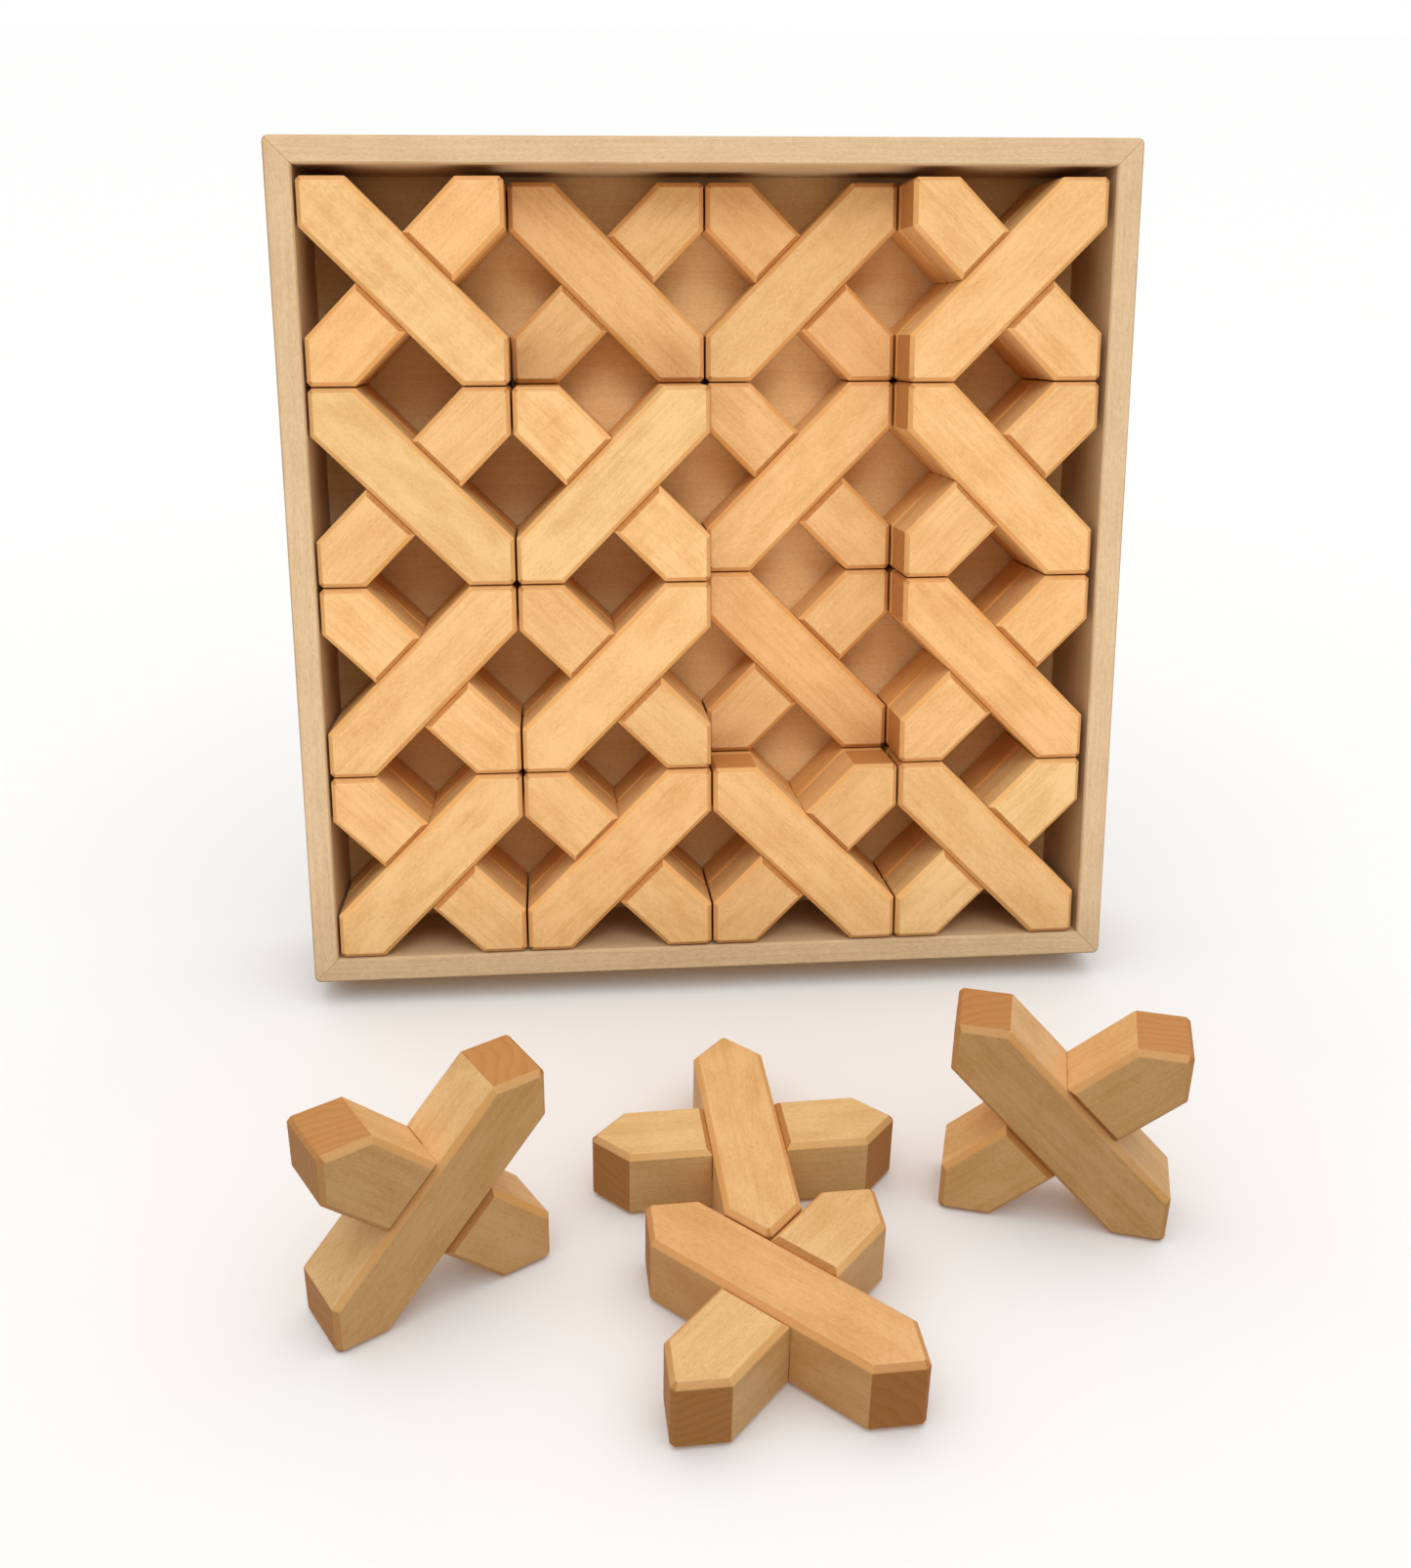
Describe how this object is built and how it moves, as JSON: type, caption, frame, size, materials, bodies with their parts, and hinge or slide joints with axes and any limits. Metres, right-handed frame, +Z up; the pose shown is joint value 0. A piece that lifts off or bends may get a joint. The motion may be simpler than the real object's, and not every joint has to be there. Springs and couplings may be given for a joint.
{
  "type": "tray of wooden cross building bricks",
  "caption": "Square wooden tray, leaning back on its lower edge, filled with X-shaped half-lapped wooden building bricks in two layers, with loose bricks lying and standing in front.",
  "frame": {"origin": "on the table, under the middle of the bounding box of the tray and its loose bricks", "axes": "+X to the viewer's right along the tray's bottom edge, +Y away from the viewer, from the loose bricks towards the tray, +Z up from the table"},
  "size_m": [0.326, 0.345, 0.3303],
  "materials": {
    "tray_wood": "smooth sanded, matt",
    "panel_wood": "thin plywood, matt",
    "brick_wood": "oiled, satin"
  },
  "bodies": {
    "tray": {"tray_wall_top": "tray_wood", "tray_wall_bottom": "tray_wood", "tray_wall_left": "tray_wood", "tray_wall_right": "tray_wood", "tray_floor_panel": "panel_wood"},
    "lower_r1c1_brick": {"lower_r1c1": "brick_wood"},
    "upper_r1c1_brick": {"upper_r1c1_over_bar": "brick_wood", "upper_r1c1_under_bar": "brick_wood"},
    "lower_r1c2_brick": {"lower_r1c2_over_bar": "brick_wood", "lower_r1c2_under_bar": "brick_wood"},
    "lower_r1c3_brick": {"lower_r1c3_over_bar": "brick_wood", "lower_r1c3_under_bar": "brick_wood"},
    "lower_r1c4_brick": {"lower_r1c4": "brick_wood"},
    "upper_r1c4_brick": {"upper_r1c4_over_bar": "brick_wood", "upper_r1c4_under_bar": "brick_wood"},
    "lower_r2c1_brick": {"lower_r2c1": "brick_wood"},
    "upper_r2c1_brick": {"upper_r2c1_over_bar": "brick_wood", "upper_r2c1_under_bar": "brick_wood"},
    "lower_r2c2_brick": {"lower_r2c2": "brick_wood"},
    "upper_r2c2_brick": {"upper_r2c2_over_bar": "brick_wood", "upper_r2c2_under_bar": "brick_wood"},
    "lower_r2c3_brick": {"lower_r2c3_over_bar": "brick_wood", "lower_r2c3_under_bar": "brick_wood"},
    "lower_r2c4_brick": {"lower_r2c4": "brick_wood"},
    "upper_r2c4_brick": {"upper_r2c4_over_bar": "brick_wood", "upper_r2c4_under_bar": "brick_wood"},
    "lower_r3c1_brick": {"lower_r3c1": "brick_wood"},
    "upper_r3c1_brick": {"upper_r3c1_over_bar": "brick_wood", "upper_r3c1_under_bar": "brick_wood"},
    "lower_r3c2_brick": {"lower_r3c2": "brick_wood"},
    "upper_r3c2_brick": {"upper_r3c2_over_bar": "brick_wood", "upper_r3c2_under_bar": "brick_wood"},
    "lower_r3c3_brick": {"lower_r3c3_over_bar": "brick_wood", "lower_r3c3_under_bar": "brick_wood"},
    "lower_r3c4_brick": {"lower_r3c4": "brick_wood"},
    "upper_r3c4_brick": {"upper_r3c4_over_bar": "brick_wood", "upper_r3c4_under_bar": "brick_wood"},
    "lower_r4c1_brick": {"lower_r4c1": "brick_wood"},
    "upper_r4c1_brick": {"upper_r4c1_over_bar": "brick_wood", "upper_r4c1_under_bar": "brick_wood"},
    "lower_r4c2_brick": {"lower_r4c2": "brick_wood"},
    "upper_r4c2_brick": {"upper_r4c2_over_bar": "brick_wood", "upper_r4c2_under_bar": "brick_wood"},
    "lower_r4c3_brick": {"lower_r4c3": "brick_wood"},
    "upper_r4c3_brick": {"upper_r4c3_over_bar": "brick_wood", "upper_r4c3_under_bar": "brick_wood"},
    "lower_r4c4_brick": {"lower_r4c4": "brick_wood"},
    "upper_r4c4_brick": {"upper_r4c4_over_bar": "brick_wood", "upper_r4c4_under_bar": "brick_wood"},
    "loose_front_brick": {"loose_front_over_bar": "brick_wood", "loose_front_under_bar": "brick_wood"},
    "loose_middle_brick": {"loose_middle_over_bar": "brick_wood", "loose_middle_under_bar": "brick_wood"},
    "loose_left_brick": {"loose_left_over_bar": "brick_wood", "loose_left_under_bar": "brick_wood"},
    "loose_right_brick": {"loose_right_over_bar": "brick_wood", "loose_right_under_bar": "brick_wood"}
  },
  "joints": [
    {"name": "lower_r1c1_lift", "type": "slide", "parent": "tray", "child": "lower_r1c1_brick", "axis": [0, -0.9816, 0.1908], "range_m": [0, 0.05]},
    {"name": "upper_r1c1_lift", "type": "slide", "parent": "lower_r1c1_brick", "child": "upper_r1c1_brick", "axis": [0, -0.9816, 0.1908], "range_m": [0, 0.026]},
    {"name": "lower_r1c2_lift", "type": "slide", "parent": "tray", "child": "lower_r1c2_brick", "axis": [0, -0.9816, 0.1908], "range_m": [0, 0.05]},
    {"name": "lower_r1c3_lift", "type": "slide", "parent": "tray", "child": "lower_r1c3_brick", "axis": [0, -0.9816, 0.1908], "range_m": [0, 0.05]},
    {"name": "lower_r1c4_lift", "type": "slide", "parent": "tray", "child": "lower_r1c4_brick", "axis": [0, -0.9816, 0.1908], "range_m": [0, 0.05]},
    {"name": "upper_r1c4_lift", "type": "slide", "parent": "lower_r1c4_brick", "child": "upper_r1c4_brick", "axis": [0, -0.9816, 0.1908], "range_m": [0, 0.026]},
    {"name": "lower_r2c1_lift", "type": "slide", "parent": "tray", "child": "lower_r2c1_brick", "axis": [0, -0.9816, 0.1908], "range_m": [0, 0.05]},
    {"name": "upper_r2c1_lift", "type": "slide", "parent": "lower_r2c1_brick", "child": "upper_r2c1_brick", "axis": [0, -0.9816, 0.1908], "range_m": [0, 0.026]},
    {"name": "lower_r2c2_lift", "type": "slide", "parent": "tray", "child": "lower_r2c2_brick", "axis": [0, -0.9816, 0.1908], "range_m": [0, 0.05]},
    {"name": "upper_r2c2_lift", "type": "slide", "parent": "lower_r2c2_brick", "child": "upper_r2c2_brick", "axis": [0, -0.9816, 0.1908], "range_m": [0, 0.026]},
    {"name": "lower_r2c3_lift", "type": "slide", "parent": "tray", "child": "lower_r2c3_brick", "axis": [0, -0.9816, 0.1908], "range_m": [0, 0.05]},
    {"name": "lower_r2c4_lift", "type": "slide", "parent": "tray", "child": "lower_r2c4_brick", "axis": [0, -0.9816, 0.1908], "range_m": [0, 0.05]},
    {"name": "upper_r2c4_lift", "type": "slide", "parent": "lower_r2c4_brick", "child": "upper_r2c4_brick", "axis": [0, -0.9816, 0.1908], "range_m": [0, 0.026]},
    {"name": "lower_r3c1_lift", "type": "slide", "parent": "tray", "child": "lower_r3c1_brick", "axis": [0, -0.9816, 0.1908], "range_m": [0, 0.05]},
    {"name": "upper_r3c1_lift", "type": "slide", "parent": "lower_r3c1_brick", "child": "upper_r3c1_brick", "axis": [0, -0.9816, 0.1908], "range_m": [0, 0.026]},
    {"name": "lower_r3c2_lift", "type": "slide", "parent": "tray", "child": "lower_r3c2_brick", "axis": [0, -0.9816, 0.1908], "range_m": [0, 0.05]},
    {"name": "upper_r3c2_lift", "type": "slide", "parent": "lower_r3c2_brick", "child": "upper_r3c2_brick", "axis": [0, -0.9816, 0.1908], "range_m": [0, 0.026]},
    {"name": "lower_r3c3_lift", "type": "slide", "parent": "tray", "child": "lower_r3c3_brick", "axis": [0, -0.9816, 0.1908], "range_m": [0, 0.05]},
    {"name": "lower_r3c4_lift", "type": "slide", "parent": "tray", "child": "lower_r3c4_brick", "axis": [0, -0.9816, 0.1908], "range_m": [0, 0.05]},
    {"name": "upper_r3c4_lift", "type": "slide", "parent": "lower_r3c4_brick", "child": "upper_r3c4_brick", "axis": [0, -0.9816, 0.1908], "range_m": [0, 0.026]},
    {"name": "lower_r4c1_lift", "type": "slide", "parent": "tray", "child": "lower_r4c1_brick", "axis": [0, -0.9816, 0.1908], "range_m": [0, 0.05]},
    {"name": "upper_r4c1_lift", "type": "slide", "parent": "lower_r4c1_brick", "child": "upper_r4c1_brick", "axis": [0, -0.9816, 0.1908], "range_m": [0, 0.026]},
    {"name": "lower_r4c2_lift", "type": "slide", "parent": "tray", "child": "lower_r4c2_brick", "axis": [0, -0.9816, 0.1908], "range_m": [0, 0.05]},
    {"name": "upper_r4c2_lift", "type": "slide", "parent": "lower_r4c2_brick", "child": "upper_r4c2_brick", "axis": [0, -0.9816, 0.1908], "range_m": [0, 0.026]},
    {"name": "lower_r4c3_lift", "type": "slide", "parent": "tray", "child": "lower_r4c3_brick", "axis": [0, -0.9816, 0.1908], "range_m": [0, 0.05]},
    {"name": "upper_r4c3_lift", "type": "slide", "parent": "lower_r4c3_brick", "child": "upper_r4c3_brick", "axis": [0, -0.9816, 0.1908], "range_m": [0, 0.026]},
    {"name": "lower_r4c4_lift", "type": "slide", "parent": "tray", "child": "lower_r4c4_brick", "axis": [0, -0.9816, 0.1908], "range_m": [0, 0.05]},
    {"name": "upper_r4c4_lift", "type": "slide", "parent": "lower_r4c4_brick", "child": "upper_r4c4_brick", "axis": [0, -0.9816, 0.1908], "range_m": [0, 0.026]},
    {"name": "loose_front_lift", "type": "slide", "parent": "tray", "child": "loose_front_brick", "axis": [0, 0, 1], "range_m": [0, 0.12]},
    {"name": "loose_middle_lift", "type": "slide", "parent": "tray", "child": "loose_middle_brick", "axis": [0, 0, 1], "range_m": [0, 0.12]},
    {"name": "loose_left_lift", "type": "slide", "parent": "tray", "child": "loose_left_brick", "axis": [0, 0, 1], "range_m": [0, 0.12]},
    {"name": "loose_right_lift", "type": "slide", "parent": "tray", "child": "loose_right_brick", "axis": [0, 0, 1], "range_m": [0, 0.12]}
  ]
}
